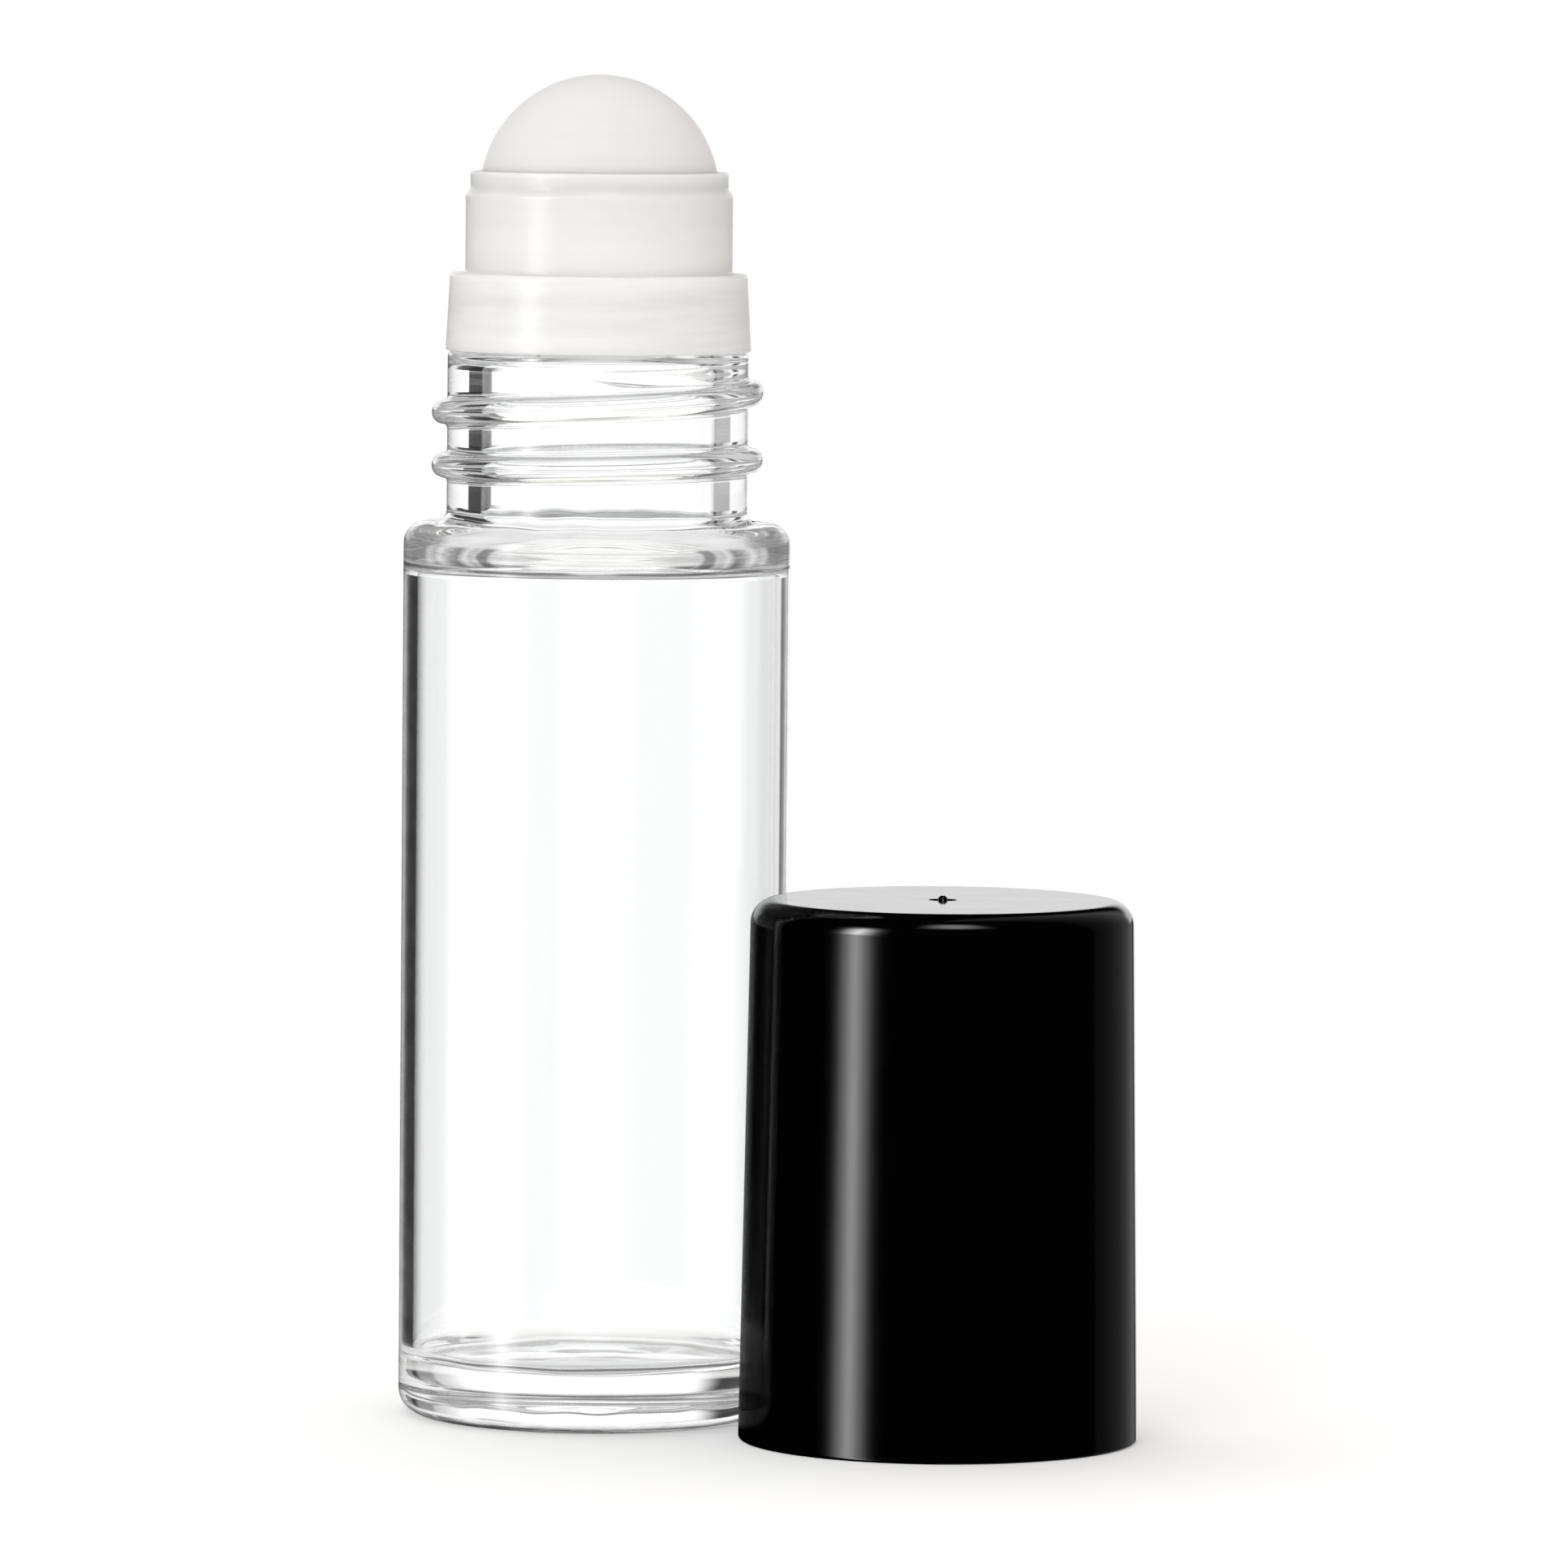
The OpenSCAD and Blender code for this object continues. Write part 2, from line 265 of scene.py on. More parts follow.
def plainGlass(tree, path, height, across):
    look = glassLook
    # painted shade: the ring that the bottle stands on is tinted dark where it meets the table
    wander = times(tree, streaks(tree, look["footShadeWave"]), look["footShadeWander"] * mm)
    footShade = rising(tree, maths(tree, "ADD", height, wander), look["footShadeHeights"])
    footShade = maths(tree, "MAXIMUM", footShade, rising(tree, across, look["footShadeRadii"]))
    colour = tint(tree, footShade, grey(look["paintedFootShade"]), look["colour"])
    shader = shade(tree, "BsdfPrincipled", {
        "Base Color": colour, "Roughness": 0.0, "IOR": look["index"], "Transmission Weight": 1.0})
    shadow = rising(tree, height, look["wallShadowFrom"])
    shadow = tint(tree, shadow, grey(look["baseShadow"]), look["wallShadow"])
    clear = shade(tree, "BsdfTransparent", {"Color": shadow})
    share = maths(tree, "MAXIMUM", path["Is Shadow Ray"], path["Is Diffuse Ray"])
    outside = maths(tree, "MODULO", path["Transmission Depth"], look["skins"])
    outside = maths(tree, "LESS_THAN", outside, 0.5)
    mirrored = times(tree, path["Is Glossy Ray"], outside)
    share = maths(tree, "MAXIMUM", share, times(tree, mirrored, look["lostInGloss"]))
    return layer(tree, share, shader, clear)


def withPaintedEvenLight(tree, path, height, surface):
    look = glassLook
    # painted light: the glass glows where light has been mirrored many times inside it
    shoulder = within(tree, height, look["shoulder"])
    level = blend(tree, rising(tree, height, look["wallsFrom"]), look["evenBase"], look["evenWalls"])
    level = blend(tree, rising(tree, height, look["neckFrom"]), level, look["evenNeck"])
    glowSwirl = blend(tree, shoulder, patches(tree, look["glowSwirl"]), patches(tree, look["glowBands"]))
    glowSwirl = blend(tree, rising(tree, height, look["heelFrom"]), glowSwirl, look["heelLevel"])
    after = blend(tree, shoulder, look["evenAfter"], look["evenAfterInShoulder"])
    many = maths(tree, "GREATER_THAN", path["Glossy Depth"], after)
    return layer(tree, many, surface, glow(tree, times(tree, level, glowSwirl)))


def withPaintedShoulder(tree, path, x, y, height, across, surface):
    look = paintedShoulderLook
    outwards = addNode(tree, "CombineXYZ", {0: x, 1: y}).outputs[0]
    outwards = addNode(tree, "VectorMath", {0: outwards}, operation="NORMALIZE").outputs[0]
    side = addNode(tree, "LayerWeight", {"Blend": 0.5, "Normal": outwards}).outputs["Facing"]
    wander = maths(tree, "SUBTRACT", streaks(tree, look["wave"]), 0.5)
    side = times(tree, wander, look["wander"], side)
    direct = maths(tree, "GREATER_THAN", across, look["outside"] * mm)
    direct = times(tree, path["Is Camera Ray"], direct)
    # painted light: a near-white glow on the side towards the viewer
    paintedWhite = rising(tree, height, look["whiteTopFrom"])
    paintedWhite = blend(tree, paintedWhite, look["whiteShare"], look["whiteTopShare"])
    paintedWhite = times(tree, paintedWhite, within(tree, height, look["whiteHeights"]))
    paintedWhite = times(tree, paintedWhite, fade(tree, side, *look["whiteSides"]))
    surface = layer(tree, times(tree, paintedWhite, direct), surface, glow(tree, 1.0, grey(look["paintedWhite"])))
    # painted light and shade: nested bands of grey glow
    bow = maths(tree, "SUBTRACT", height, look["bowMiddle"] * mm)
    bow = maths(tree, "DIVIDE", bow, look["bowHalf"] * mm)
    bowed = times(tree, times(tree, bow, bow), look["bow"], side)
    lower, lowerShare = ramp(tree, bowed, look["lowerStops"])
    upper, upperShare = ramp(tree, side, look["upperStops"])
    isUpper = rising(tree, height, look["upperFrom"])
    share = times(tree, blend(tree, isUpper, lowerShare, upperShare), direct)
    share = times(tree, share, within(tree, height, look["heights"]))
    surface = layer(tree, share, surface, glow(tree, 1.0, tint(tree, isUpper, lower, upper)))
    # painted shade: a thin dark line under the bands
    line = times(tree, patches(tree, look["lineShare"]), within(tree, height, look["lineHeights"]))
    return layer(tree, times(tree, line, direct), surface, glow(tree, 1.0, grey(look["line"])))


def clearGlass():
    material, tree, output = newMaterial("clear flint glass")
    path = addNode(tree, "LightPath", {}).outputs
    x, y, height = addNode(tree, "SeparateXYZ", {0: objectPlace(tree)}).outputs
    across = maths(tree, "SQRT", maths(tree, "ADD", times(tree, x, x), times(tree, y, y)))
    surface = plainGlass(tree, path, height, across)
    surface = withPaintedEvenLight(tree, path, height, surface)
    surface = withPaintedShoulder(tree, path, x, y, height, across, surface)
    tree.links.new(surface, output.inputs["Surface"])
    return material


naturalLook = {
    "index": 1.49, "specular": 0.5, "depth": 1.8, "wave": (0.9, 9.0, 4.0), "ends": (0.3, 0.7),
    # the housing's cup is more even than the band under it; the change takes this height
    "calmOver": 0.3, "calmShare": 0.3, "calmLevel": 0.3,
    # the thin plug in the neck is nearly clear; seen through the glass the housing glows with painted light,
    # for the light that the glass carries to it
    "plugClear": 0.97, "paintedLightInGlass": 0.3,
}
housingPlastic = {"name": "natural plastic", "dark": (0.82, 0.813, 0.8, 1), "light": (0.9, 0.893, 0.88, 1),
                  "roughness": 0.3}
ballPlastic = {"name": "ball plastic", "dark": (0.79, 0.782, 0.778, 1), "light": (0.8, 0.792, 0.788, 1),
               "roughness": 0.5}


def naturalPlastic(plastic, plugTop=None, bandTop=None):
    look = naturalLook
    material, tree, output = newMaterial(plastic["name"])
    height = addNode(tree, "SeparateXYZ", {0: objectPlace(tree)}).outputs[2]
    cloudy = fade(tree, streaks(tree, look["wave"]), *look["ends"])
    if bandTop:
        calm = rising(tree, height, (bandTop, bandTop + look["calmOver"]))
        cloudy = blend(tree, calm, cloudy, times(tree, cloudy, look["calmShare"], look["calmLevel"]))
    surface = shade(tree, "BsdfPrincipled", {
        "Base Color": tint(tree, cloudy, plastic["dark"], plastic["light"]),
        "Roughness": plastic["roughness"], "IOR": look["index"], "Specular IOR Level": look["specular"],
        "Subsurface Weight": 1.0, "Subsurface Radius": (1.0, 1.0, 1.0),
        "Subsurface Scale": look["depth"] * mm})
    if plugTop:
        # painted light: seen through the glass, the housing glows in place of light that the glass carries to
        # it
        path = addNode(tree, "LightPath", {}).outputs
        inGlass = maths(tree, "GREATER_THAN", path["Transmission Depth"], 0.5)
        lit = glow(tree, times(tree, inGlass, look["paintedLightInGlass"]), plastic["light"])
        surface = shade(tree, "AddShader", {0: surface, 1: lit})
        plug = maths(tree, "LESS_THAN", height, plugTop * mm)
        clear = shade(tree, "BsdfTransparent", {"Color": (1, 1, 1, 1)})
        surface = layer(tree, times(tree, plug, look["plugClear"]), surface, clear)
    tree.links.new(surface, output.inputs["Surface"])
    return material


blackLook = {"level": 0.0005, "smooth": 0.08, "rough": 0.11, "index": 1.49, "wave": (6.0, 3.0, 2.0),
             "ends": (0.35, 0.7)}


def blackPlastic():
    look = blackLook
    material, tree, output = newMaterial("gloss black plastic")
    uneven = fade(tree, streaks(tree, look["wave"]), *look["ends"])
    surface = shade(tree, "BsdfPrincipled", {
        "Base Color": grey(look["level"]), "Roughness": blend(tree, uneven, look["smooth"], look["rough"]),
        "IOR": look["index"]})
    tree.links.new(surface, output.inputs["Surface"])
    return material


# Glass bottle

glass = {
    "footRound": 1.9, "footWidth": 1.5, "punt": 0.9,
    "shoulder": 64.4, "shoulderRound": 1.5, "fillet": 0.9,
    "neckRadius": 10.825, "rimRound": 0.45, "mouthRound": 1.3, "ridgesAbove": 0.05, "ridgesBelow": 0.02,
    "wall": 1.0, "bore": 8.4, "throat": 62.65, "throatRound": 0.875,
    "innerShoulder": 62.3, "innerRound": 1.5,
    "floor": 4.05, "floorRise": 1.1, "floorCurve": 2.451, "around": 192,
}
# Hot-formed glass is never quite even. Each skin has the length of its waves and their way out, the
# same for its lift, and the height up to which it lifts in full; the neck lifts again from the shoulder.
flow = {
    "inside": {"wave": 5.0, "out": 0.02, "liftWave": 4.5, "up": 0.12, "reach": 6.0},
    "outside": {"wave": 6.0, "out": 0.01, "liftWave": 2.6, "up": 0.14, "reach": 2.0},
    "fade": 3, "neckUp": 0.12, "neckFrom": -0.3, "neckOver": 0.4, "stretch": 0.25, "calmRadius": 4,
    "liftShift": (7, 3, 1),
}
ridges = [
    {"height": 69.0, "lead": 1.02, "closed": True},
    {"height": 73.87, "lead": 3.175, "from": 100, "fadeAngle": 32, "swap": 4, "closed": False},
]
ridgeForm = {"depth": 1.115, "half": 0.84, "footOut": 0.26, "foot": 0.4}


def ridgeRows(wallRadius, height, form):
    foot, half = form["foot"], form["half"]
    flare = (form["footOut"], foot)
    crest = wallRadius + form["depth"] - half
    rows = arc((wallRadius + form["footOut"], height - half - foot), flare, 180, 90, 8)
    rows += arc((crest, height), half, -90, 90, 20)
    rows += arc((wallRadius + form["footOut"], height + half + foot), flare, -90, -180, 8)
    return rows


def ridgeState(ridge, azimuth):
    # rise of the ridge at this azimuth, and how far it stands out: 0 at its ends, 1 along it
    if ridge["closed"]:
        return ridge["lead"] * (cos(radians(azimuth)) - 1) / 4, 1.0
    along = (azimuth - ridge["from"]) % 360
    near = min(along, 360 - along)
    out = 1.0 if near > ridge["fadeAngle"] else (1 - cos(pi * near / ridge["fadeAngle"])) / 2
    place = ridge["from"] + along
    if near < ridge["swap"]:
        middle = ridge["from"] + 180
        share = near / ridge["swap"]
        place = middle + (place - middle) * share
    return ridge["lead"] * (place - 360) / 360, out


def liftRidges(bm, wallRadius, low, high, form, onWall=1e-3):
    # rows follow each ridge round the neck, so that its flanks stay clean
    reach = form["half"] + form["foot"]
    states = {}
    for vert in bm.verts:
        across, up = vert.co.xy.length / mm, vert.co.z / mm
        if across < wallRadius - onWall or not low < up < high:
            continue
        azimuth = round(degrees(atan2(vert.co.y, vert.co.x)) % 360, 4)
        if azimuth not in states:
            knots = [(low, 0.0, 1.0)]
            for ridge in ridges:
                rise, out = ridgeState(ridge, azimuth)
                slim = reach * (1 - out) / 2
                knots += [(ridge["height"] - reach, rise + slim, out),
                          (ridge["height"] + reach, rise - slim, out)]
            states[azimuth] = knots + [(high, 0.0, 1.0)]
        knots = states[azimuth]
        for lower, upper in zip(knots, knots[1:]):
            if lower[0] <= up <= upper[0]:
                share = (up - lower[0]) / (upper[0] - lower[0])
                moved = up + lower[1] + (upper[1] - lower[1]) * share
                out = lower[2] + (upper[2] - lower[2]) * share
                radius = wallRadius + (across - wallRadius) * out
                vert.co = Vector((vert.co.x * radius / across, vert.co.y * radius / across, moved * mm))
                break


def waver(bm, tiny=1e-3, near=0.01):
    # the walls, the floor inside and the heel wander a little
    g = glass
    inner = glassHigh.x - g["wall"]
    for vert in bm.verts:
        across, up = vert.co.xy.length / mm, vert.co.z / mm
        if across < tiny or up > g["shoulder"] + g["fillet"] + 1:
            continue
        inside = g["floor"] - near < up < g["throat"] and across < inner + near
        skin = flow["inside"] if inside else flow["outside"]
        place = Vector((vert.co.x, vert.co.y, vert.co.z * flow["stretch"])) / mm
        wave = noise.noise(place / skin["wave"])
        lift = noise.noise(Vector((place.x, place.y, 0)) / skin["liftWave"] + Vector(flow["liftShift"]))
        foot = min(1.0, max(0.0, 1 - (up - skin["reach"]) / flow["fade"]))
        neck = min(1.0, max(0.0, (up - g["shoulder"] - flow["neckFrom"]) / flow["neckOver"]))
        radius = across + wave * skin["out"] * min(1.0, across / flow["calmRadius"])
        shift = lift * (skin["up"] * foot * min(1.0, up) + flow["neckUp"] * neck)
        vert.co = Vector((vert.co.x * radius / across, vert.co.y * radius / across, (up + shift) * mm))


def makeGlass():
    g = glass
    bodyRadius, rim = glassHigh.x, glassHigh.z
    neck, inner = g["neckRadius"], bodyRadius - g["wall"]
    footRadius = bodyRadius - g["footRound"]
    puntRadius = footRadius - g["footWidth"]
    rimEdge = g["rimRound"]
    puntSteps = 14
    turns = [pi * step / puntSteps for step in range(puntSteps + 1)]
    outline = [(puntRadius * turn / pi, g["punt"] * (1 + cos(turn)) / 2) for turn in turns]
    outline += arc((footRadius, g["footRound"]), g["footRound"], -90, 0, 16)
    outline += arc((bodyRadius - g["shoulderRound"], g["shoulder"] - g["shoulderRound"]),
                   g["shoulderRound"], 0, 90, 16)
    outline += arc((neck + g["fillet"], g["shoulder"] + g["fillet"]), g["fillet"], 270, 180, 12)
    for ridge in ridges:
        outline += ridgeRows(neck, ridge["height"], ridgeForm)
    outline += arc((neck - rimEdge, rim - rimEdge), rimEdge, 0, 90, 8)
    outline += arc((g["bore"] + g["mouthRound"], rim - g["mouthRound"]), g["mouthRound"], 90, 180, 12)
    outline += arc((g["bore"] + g["throatRound"], g["throat"] + g["throatRound"]),
                   g["throatRound"], 180, 270, 12)
    outline += arc((inner - g["innerRound"], g["innerShoulder"] - g["innerRound"]),
                   g["innerRound"], 90, 0, 16)
    outline += arc((inner - g["floorCurve"], g["floor"] + g["floorRise"]),
                   (g["floorCurve"], g["floorRise"]), 0, -90, 16)
    outline += [(0, g["floor"])]
    bm = revolve(guarded(outline), g["around"])
    low, high = g["shoulder"] + g["fillet"] + g["ridgesAbove"], rim - rimEdge - g["ridgesBelow"]
    liftRidges(bm, neck, low, high, ridgeForm)
    waver(bm)
    addPiece(bm, "glassBottle", "glass_bottle", "bottle", clearGlass())


# Ball housing

housing = {
    "boreGap": 0.06, "plugWall": 0.9, "ribs": 3, "ribWidth": 0.9, "ribOut": 0.09,
    "bandHeight": 5.55, "bandFoot": 10.975, "bandTop": 10.695, "bandFootEdge": 0.12, "bandEdge": 0.25,
    "bandWall": 1.0, "web": 1.1, "webFillet": 0.2, "plugBelowRim": 0.01,
    "cup": 9.6, "fillet": 0.27, "lip": 9.27, "lipHeight": 1.05, "lipSlope": 0.76, "lipEdge": 0.165,
    "socketGap": 0.04, "feed": 3.2, "around": 160,
}


def makeHousing():
    h = housing
    rim = glassHigh.z
    centre = (ballLow.z + ballHigh.z) / 2
    ballRadius = (ballHigh.z - ballLow.z) / 2
    socket = ballRadius + h["socketGap"]
    low, top = housingLow.z, housingHigh.z
    plug = glass["bore"] - h["boreGap"]
    plugInner = plug - h["plugWall"]
    nose = h["plugWall"] / 2
    band = rim + h["bandHeight"]
    lipFoot = top - h["lipHeight"]
    slopeFoot = lipFoot - h["lipSlope"]
    outline = [(plugInner, low), (plug - nose / 2, low), (plug, low + nose)]
    pitch = (rim - low - nose - h["ribWidth"]) / (h["ribs"] + 0.5)
    for rib in range(h["ribs"]):
        foot = low + nose + pitch * (rib + 0.5)
        third = h["ribWidth"] / 3
        outline += [(plug, foot), (plug + h["ribOut"], foot + third),
                    (plug + h["ribOut"], foot + 2 * third), (plug, foot + 3 * third)]
    web = band - h["web"]
    bandInner = h["bandFoot"] - h["bandWall"]
    fillet, edge = h["webFillet"], h["bandFootEdge"]
    outline += arc((plug + fillet, web - fillet), fillet, 180, 90, 4)
    outline += arc((bandInner - fillet, web - fillet), fillet, 90, 0, 4)
    outline += [(bandInner, rim)]
    outline += arc((h["bandFoot"] - edge, rim + edge), edge, -90, 0, 5)
    outline += arc((h["bandTop"] - h["bandEdge"], band - h["bandEdge"]), h["bandEdge"], 0, 90, 8)
    outline += arc((h["cup"] + h["fillet"], band + h["fillet"]), h["fillet"], 270, 180, 8)
    slopeSteps = 12
    for step in range(slopeSteps + 1):
        share = step / slopeSteps
        outline += [(h["lip"] + (h["cup"] - h["lip"]) * (1 + cos(pi * share)) / 2,
                     slopeFoot + h["lipSlope"] * share)]
    outline += arc((h["lip"] - h["lipEdge"], top - h["lipEdge"]), h["lipEdge"], 0, 90, 6)
    lipAngle = degrees(asin((top - centre) / socket))
    feedAngle = -90 + degrees(asin(h["feed"] / socket))
    outline += arc((0, centre), socket, lipAngle, feedAngle, 40)
    feedOuter = -90 + degrees(asin(h["feed"] / h["cup"]))
    webOuter = degrees(asin((web - centre) / h["cup"]))
    outline += arc((0, centre), h["cup"], feedOuter, webOuter, 14)
    outline += [(plugInner, web)]
    bm = revolve(guarded(outline + [outline[0]]), h["around"])
    plastic = naturalPlastic(housingPlastic, rim - h["plugBelowRim"], band)
    addPiece(bm, "ballHousing", "ball_housing", "bottle", plastic)


# Roller ball

def makeBall():
    radius = (ballHigh.z - ballLow.z) / 2
    centre = (ballLow + ballHigh) / 2
    bm = bmesh.new()
    bmesh.ops.create_icosphere(bm, subdivisions=6, radius=radius * mm,
                               matrix=Matrix.Translation(centre * mm))
    addPiece(bm, "rollerBall", "roller_ball", "ball", naturalPlastic(ballPlastic))


# Screw cap

cap = {
    "draft": 0.58, "round": 1.7, "edge": 0.25, "topWall": 1.8,
    "stub": 0.33, "stubHeight": 0.3, "dimple": 1.0, "dimpleDepth": 0.25,
    "bore": 12.19, "step": 11.65, "stepHeight": 0.765, "inner": 11.425, "innerRound": 0.9,
    "seal": 5.0, "sealWall": 0.9, "sealNose": 30.79, "around": 192,
    "threadHeight": 7.67, "threadLead": 3.175, "threadFrom": 150, "threadTurns": 1.1,
    "threadDepth": 0.95, "threadHalf": 0.55, "threadEnd": 0.15, "threadFade": 32, "threadSteps": 80,
}


def capThread():
    # a half-round ridge wound round the bore, sunk in the wall and fading out at both ends
    c = cap
    bm = bmesh.new()
    half = c["threadHalf"]
    middle = c["bore"] - c["threadDepth"] + half
    sweep = 360 * c["threadTurns"]
    start = c["threadHeight"] + c["threadLead"] * (c["threadFrom"] - 360) / 360
    upright = Matrix.Translation(Vector((middle, 0, start)) * mm) @ Matrix.Rotation(pi / 2, 4, "X")
    section = bmesh.ops.create_circle(bm, segments=16, radius=half * mm, matrix=upright)["verts"]
    around = len(section)
    rise = Vector((0, 0, c["threadLead"] * c["threadTurns"] / c["threadSteps"] * mm))
    bmesh.ops.rotate(bm, verts=bm.verts, cent=(0, 0, 0),
                     matrix=Matrix.Rotation(radians(c["threadFrom"]), 3, "Z"))
    bmesh.ops.spin(bm, geom=list(bm.verts) + list(bm.edges), cent=(0, 0, 0), axis=(0, 0, 1), dvec=rise,
                   angle=radians(sweep), steps=c["threadSteps"], use_merge=False)
    bmesh.ops.holes_fill(bm, edges=bm.edges, sides=0)
    outermost = middle + half
    for index, vert in enumerate(bm.verts):
        along = sweep * (index // around) / c["threadSteps"]
        near = min(along, sweep - along) / c["threadFade"]
        out = 1.0 if near > 1 else c["threadEnd"] + (1 - c["threadEnd"]) * (1 - cos(pi * near)) / 2
        across = vert.co.xy.length / mm
        radius = outermost + (across - outermost) * out
        vert.co = Vector((vert.co.x * radius / across, vert.co.y * radius / across, vert.co.z))
    bmesh.ops.recalc_face_normals(bm, faces=bm.faces)
    return bm


def joinInto(bm, other):
    mesh = bpy.data.meshes.new("joined")
    other.to_mesh(mesh)
    other.free()
    bm.from_mesh(mesh)
    bpy.data.meshes.remove(mesh)


def makeCap():
    c = cap
    edge, stub = c["edge"], c["stub"]
    radius = (capHigh.x - capLow.x) / 2
    centre = Vector(((capLow.x + capHigh.x) / 2, (capLow.y + capHigh.y) / 2, 0))
    top = capHigh.z - c["stubHeight"]
    dimpleFloor = top - c["dimpleDepth"]
    topRadius = radius - c["draft"]
    ceiling = top - c["topWall"]
    innerTop = c["inner"] - c["draft"] / 2
    nose = c["sealWall"] / 2
    outline = [(c["bore"], edge)]
    outline += arc((c["bore"] + edge, edge), edge, 180, 270, 4)
    outline += arc((radius - edge, edge), edge, -90, 0, 8)
    outline += arc((topRadius - c["round"], top - c["round"]), c["round"], 0, 90, 20)
    outline += [(c["dimple"], top), (c["dimple"] - c["dimpleDepth"], dimpleFloor)]
    outline += [(stub, dimpleFloor), (stub, top + c["stubHeight"] / 2)]
    outline += [(stub / 2, top + c["stubHeight"]), (0, top + c["stubHeight"])]
    shell = revolve(guarded(outline), c["around"])
    outline = [(c["bore"], edge), (c["bore"], c["step"] - c["stepHeight"]), (c["inner"], c["step"])]
    outline += arc((innerTop - c["innerRound"], ceiling - c["innerRound"]), c["innerRound"], 0, 90, 8)
    outline += [(c["seal"] + nose, ceiling)]
    outline += arc((c["seal"], c["sealNose"]), nose, 0, -180, 12)
    outline += [(c["seal"] - nose, ceiling), (0, ceiling)]
    joinInto(shell, revolve(guarded(outline), c["around"]))
    bmesh.ops.remove_doubles(shell, verts=shell.verts, dist=samePlace)
    bmesh.ops.recalc_face_normals(shell, faces=shell.faces)
    joinInto(shell, capThread())
    bmesh.ops.translate(shell, verts=shell.verts, vec=centre * mm)
    addPiece(shell, "screwCap", "screw_cap", "cap", blackPlastic())


makeGlass()
makeHousing()
makeBall()
makeCap()


# Table

# it takes shadows up to the near radius and is plain white from the far one
table = {
    "radius": 2500, "around": 96, "near": 60, "far": 160, "plain": 0.1,
    "level": 0.94, "glow": 0.16, "glowThrough": 0.34, "inGlass": (8, 30),
}


def makeTable():
    bm = bmesh.new()
    bmesh.ops.create_circle(bm, cap_ends=True, segments=table["around"], radius=table["radius"] * mm)
    mesh = bpy.data.meshes.new("table")
    bm.to_mesh(mesh)
    bm.free()
    floor = bpy.data.objects.new("table", mesh)
    bpy.context.scene.collection.objects.link(floor)
    material, tree, output = newMaterial("white table")
    path = addNode(tree, "LightPath", {}).outputs
    diffuse = shade(tree, "BsdfDiffuse", {"Color": grey(table["level"])})
    away = addNode(tree, "VectorMath", {0: objectPlace(tree)}, operation="LENGTH").outputs["Value"]
    share = blend(tree, rising(tree, away, (table["near"], table["far"])), table["plain"], 1.0)
    share = times(tree, path["Is Camera Ray"], share)
    level = times(tree, path["Is Camera Ray"], table["glow"])
    level = times(tree, path["Is Transmission Ray"], table["glowThrough"], level)
    lit = shade(tree, "AddShader", {0: diffuse, 1: glow(tree, level)})
    surface = layer(tree, share, lit, glow(tree, 1.0))
    # glass shows the table only close to it, and the studio's picture beyond
    beyond = rising(tree, path["Ray Length"], table["inGlass"])
    beyond = times(tree, path["Is Transmission Ray"], beyond)
    surface = layer(tree, beyond, surface, shade(tree, "BsdfTransparent", {}))
    tree.links.new(surface, output.inputs["Surface"])
    mesh.materials.append(material)
    floor.visible_glossy = False
    print("table made")


makeTable()


# Light
# Turn is in degrees to the right from straight behind the bottle, rise in degrees up from level.
# A window is (start, end, softness of each), a fade is (where it is 0, where it is 1).

studio = {
    "ambient": 0.74, "warm": (1.0, 0.988, 0.972, 1), "rosy": (1.0, 0.965, 0.955, 1), "rosySide": (-0.2, 0.9),
    "through": 1.17,
}
# What glass lets through: a white wall behind it with dark flags at both sides, the upper ones for
# the neck, the darker ceiling, and the table. Once is for light that a wall of the glass has mirrored.
flags = {
    "corners": (14.0, 28.0), "cornersOnce": (4.0, 20.0), "cornersLens": (22.0, 33.0), "cornersDark": 0.98,
    # the right side of the body, where the side wall mirrors a thin dark edge
    "right": (0.0, 66.0), "greyFrom": (26.0, 41.0), "grey": 0.6, "darkFrom": (40.5, 44.0), "dark": 0.3,
    "slit": (54.0, 59.0, 2.0, 2.0), "slitLevel": 0.04, "thin": (13.0, 25.5, 4.0, 3.0), "thinDark": 0.95,
    # upper flags
    "upperFrom": (-3.0, -2.8),
    "upperLeft": (-60.0, -24.0, 3.0, 1.5), "upperLeftOnce": (-70.0, -38.5, 3.0, 1.0), "upperLeftDark": 0.97,
    "upperRight": (30.0, 62.0, 1.5, 3.0), "upperRightDark": 0.55,
    # their lower and upper ends, and the slot between the flags
    "lowEnd": (-8.0, -10.5), "lowEndOnce": (-24.0, -32.0), "highEnd": (14.0, 24.0),
    "slot": (-2.07, 1.5, 0.02, 0.8), "slotShare": 0.6,
    "ceiling": (20.0, 66.0, 7.0, 6.0), "ceilingSides": (110.0, 80.0), "ceilingLevel": 0.14,
    # the ridges bend this last flag down to the left side of the neck
    "ridgeTurn": (-72.0, -20.0, 3.0, 3.0), "ridgeRise": (15.0, 32.0, 4.0, 3.0), "ridgeLevel": 0.03,
    "table": (-14.0, -48.0), "tableShare": 0.55,
    # light that has run a long way in the glass is even
    "evenAfter": (1.5, 5.5), "even": 0.4,
}
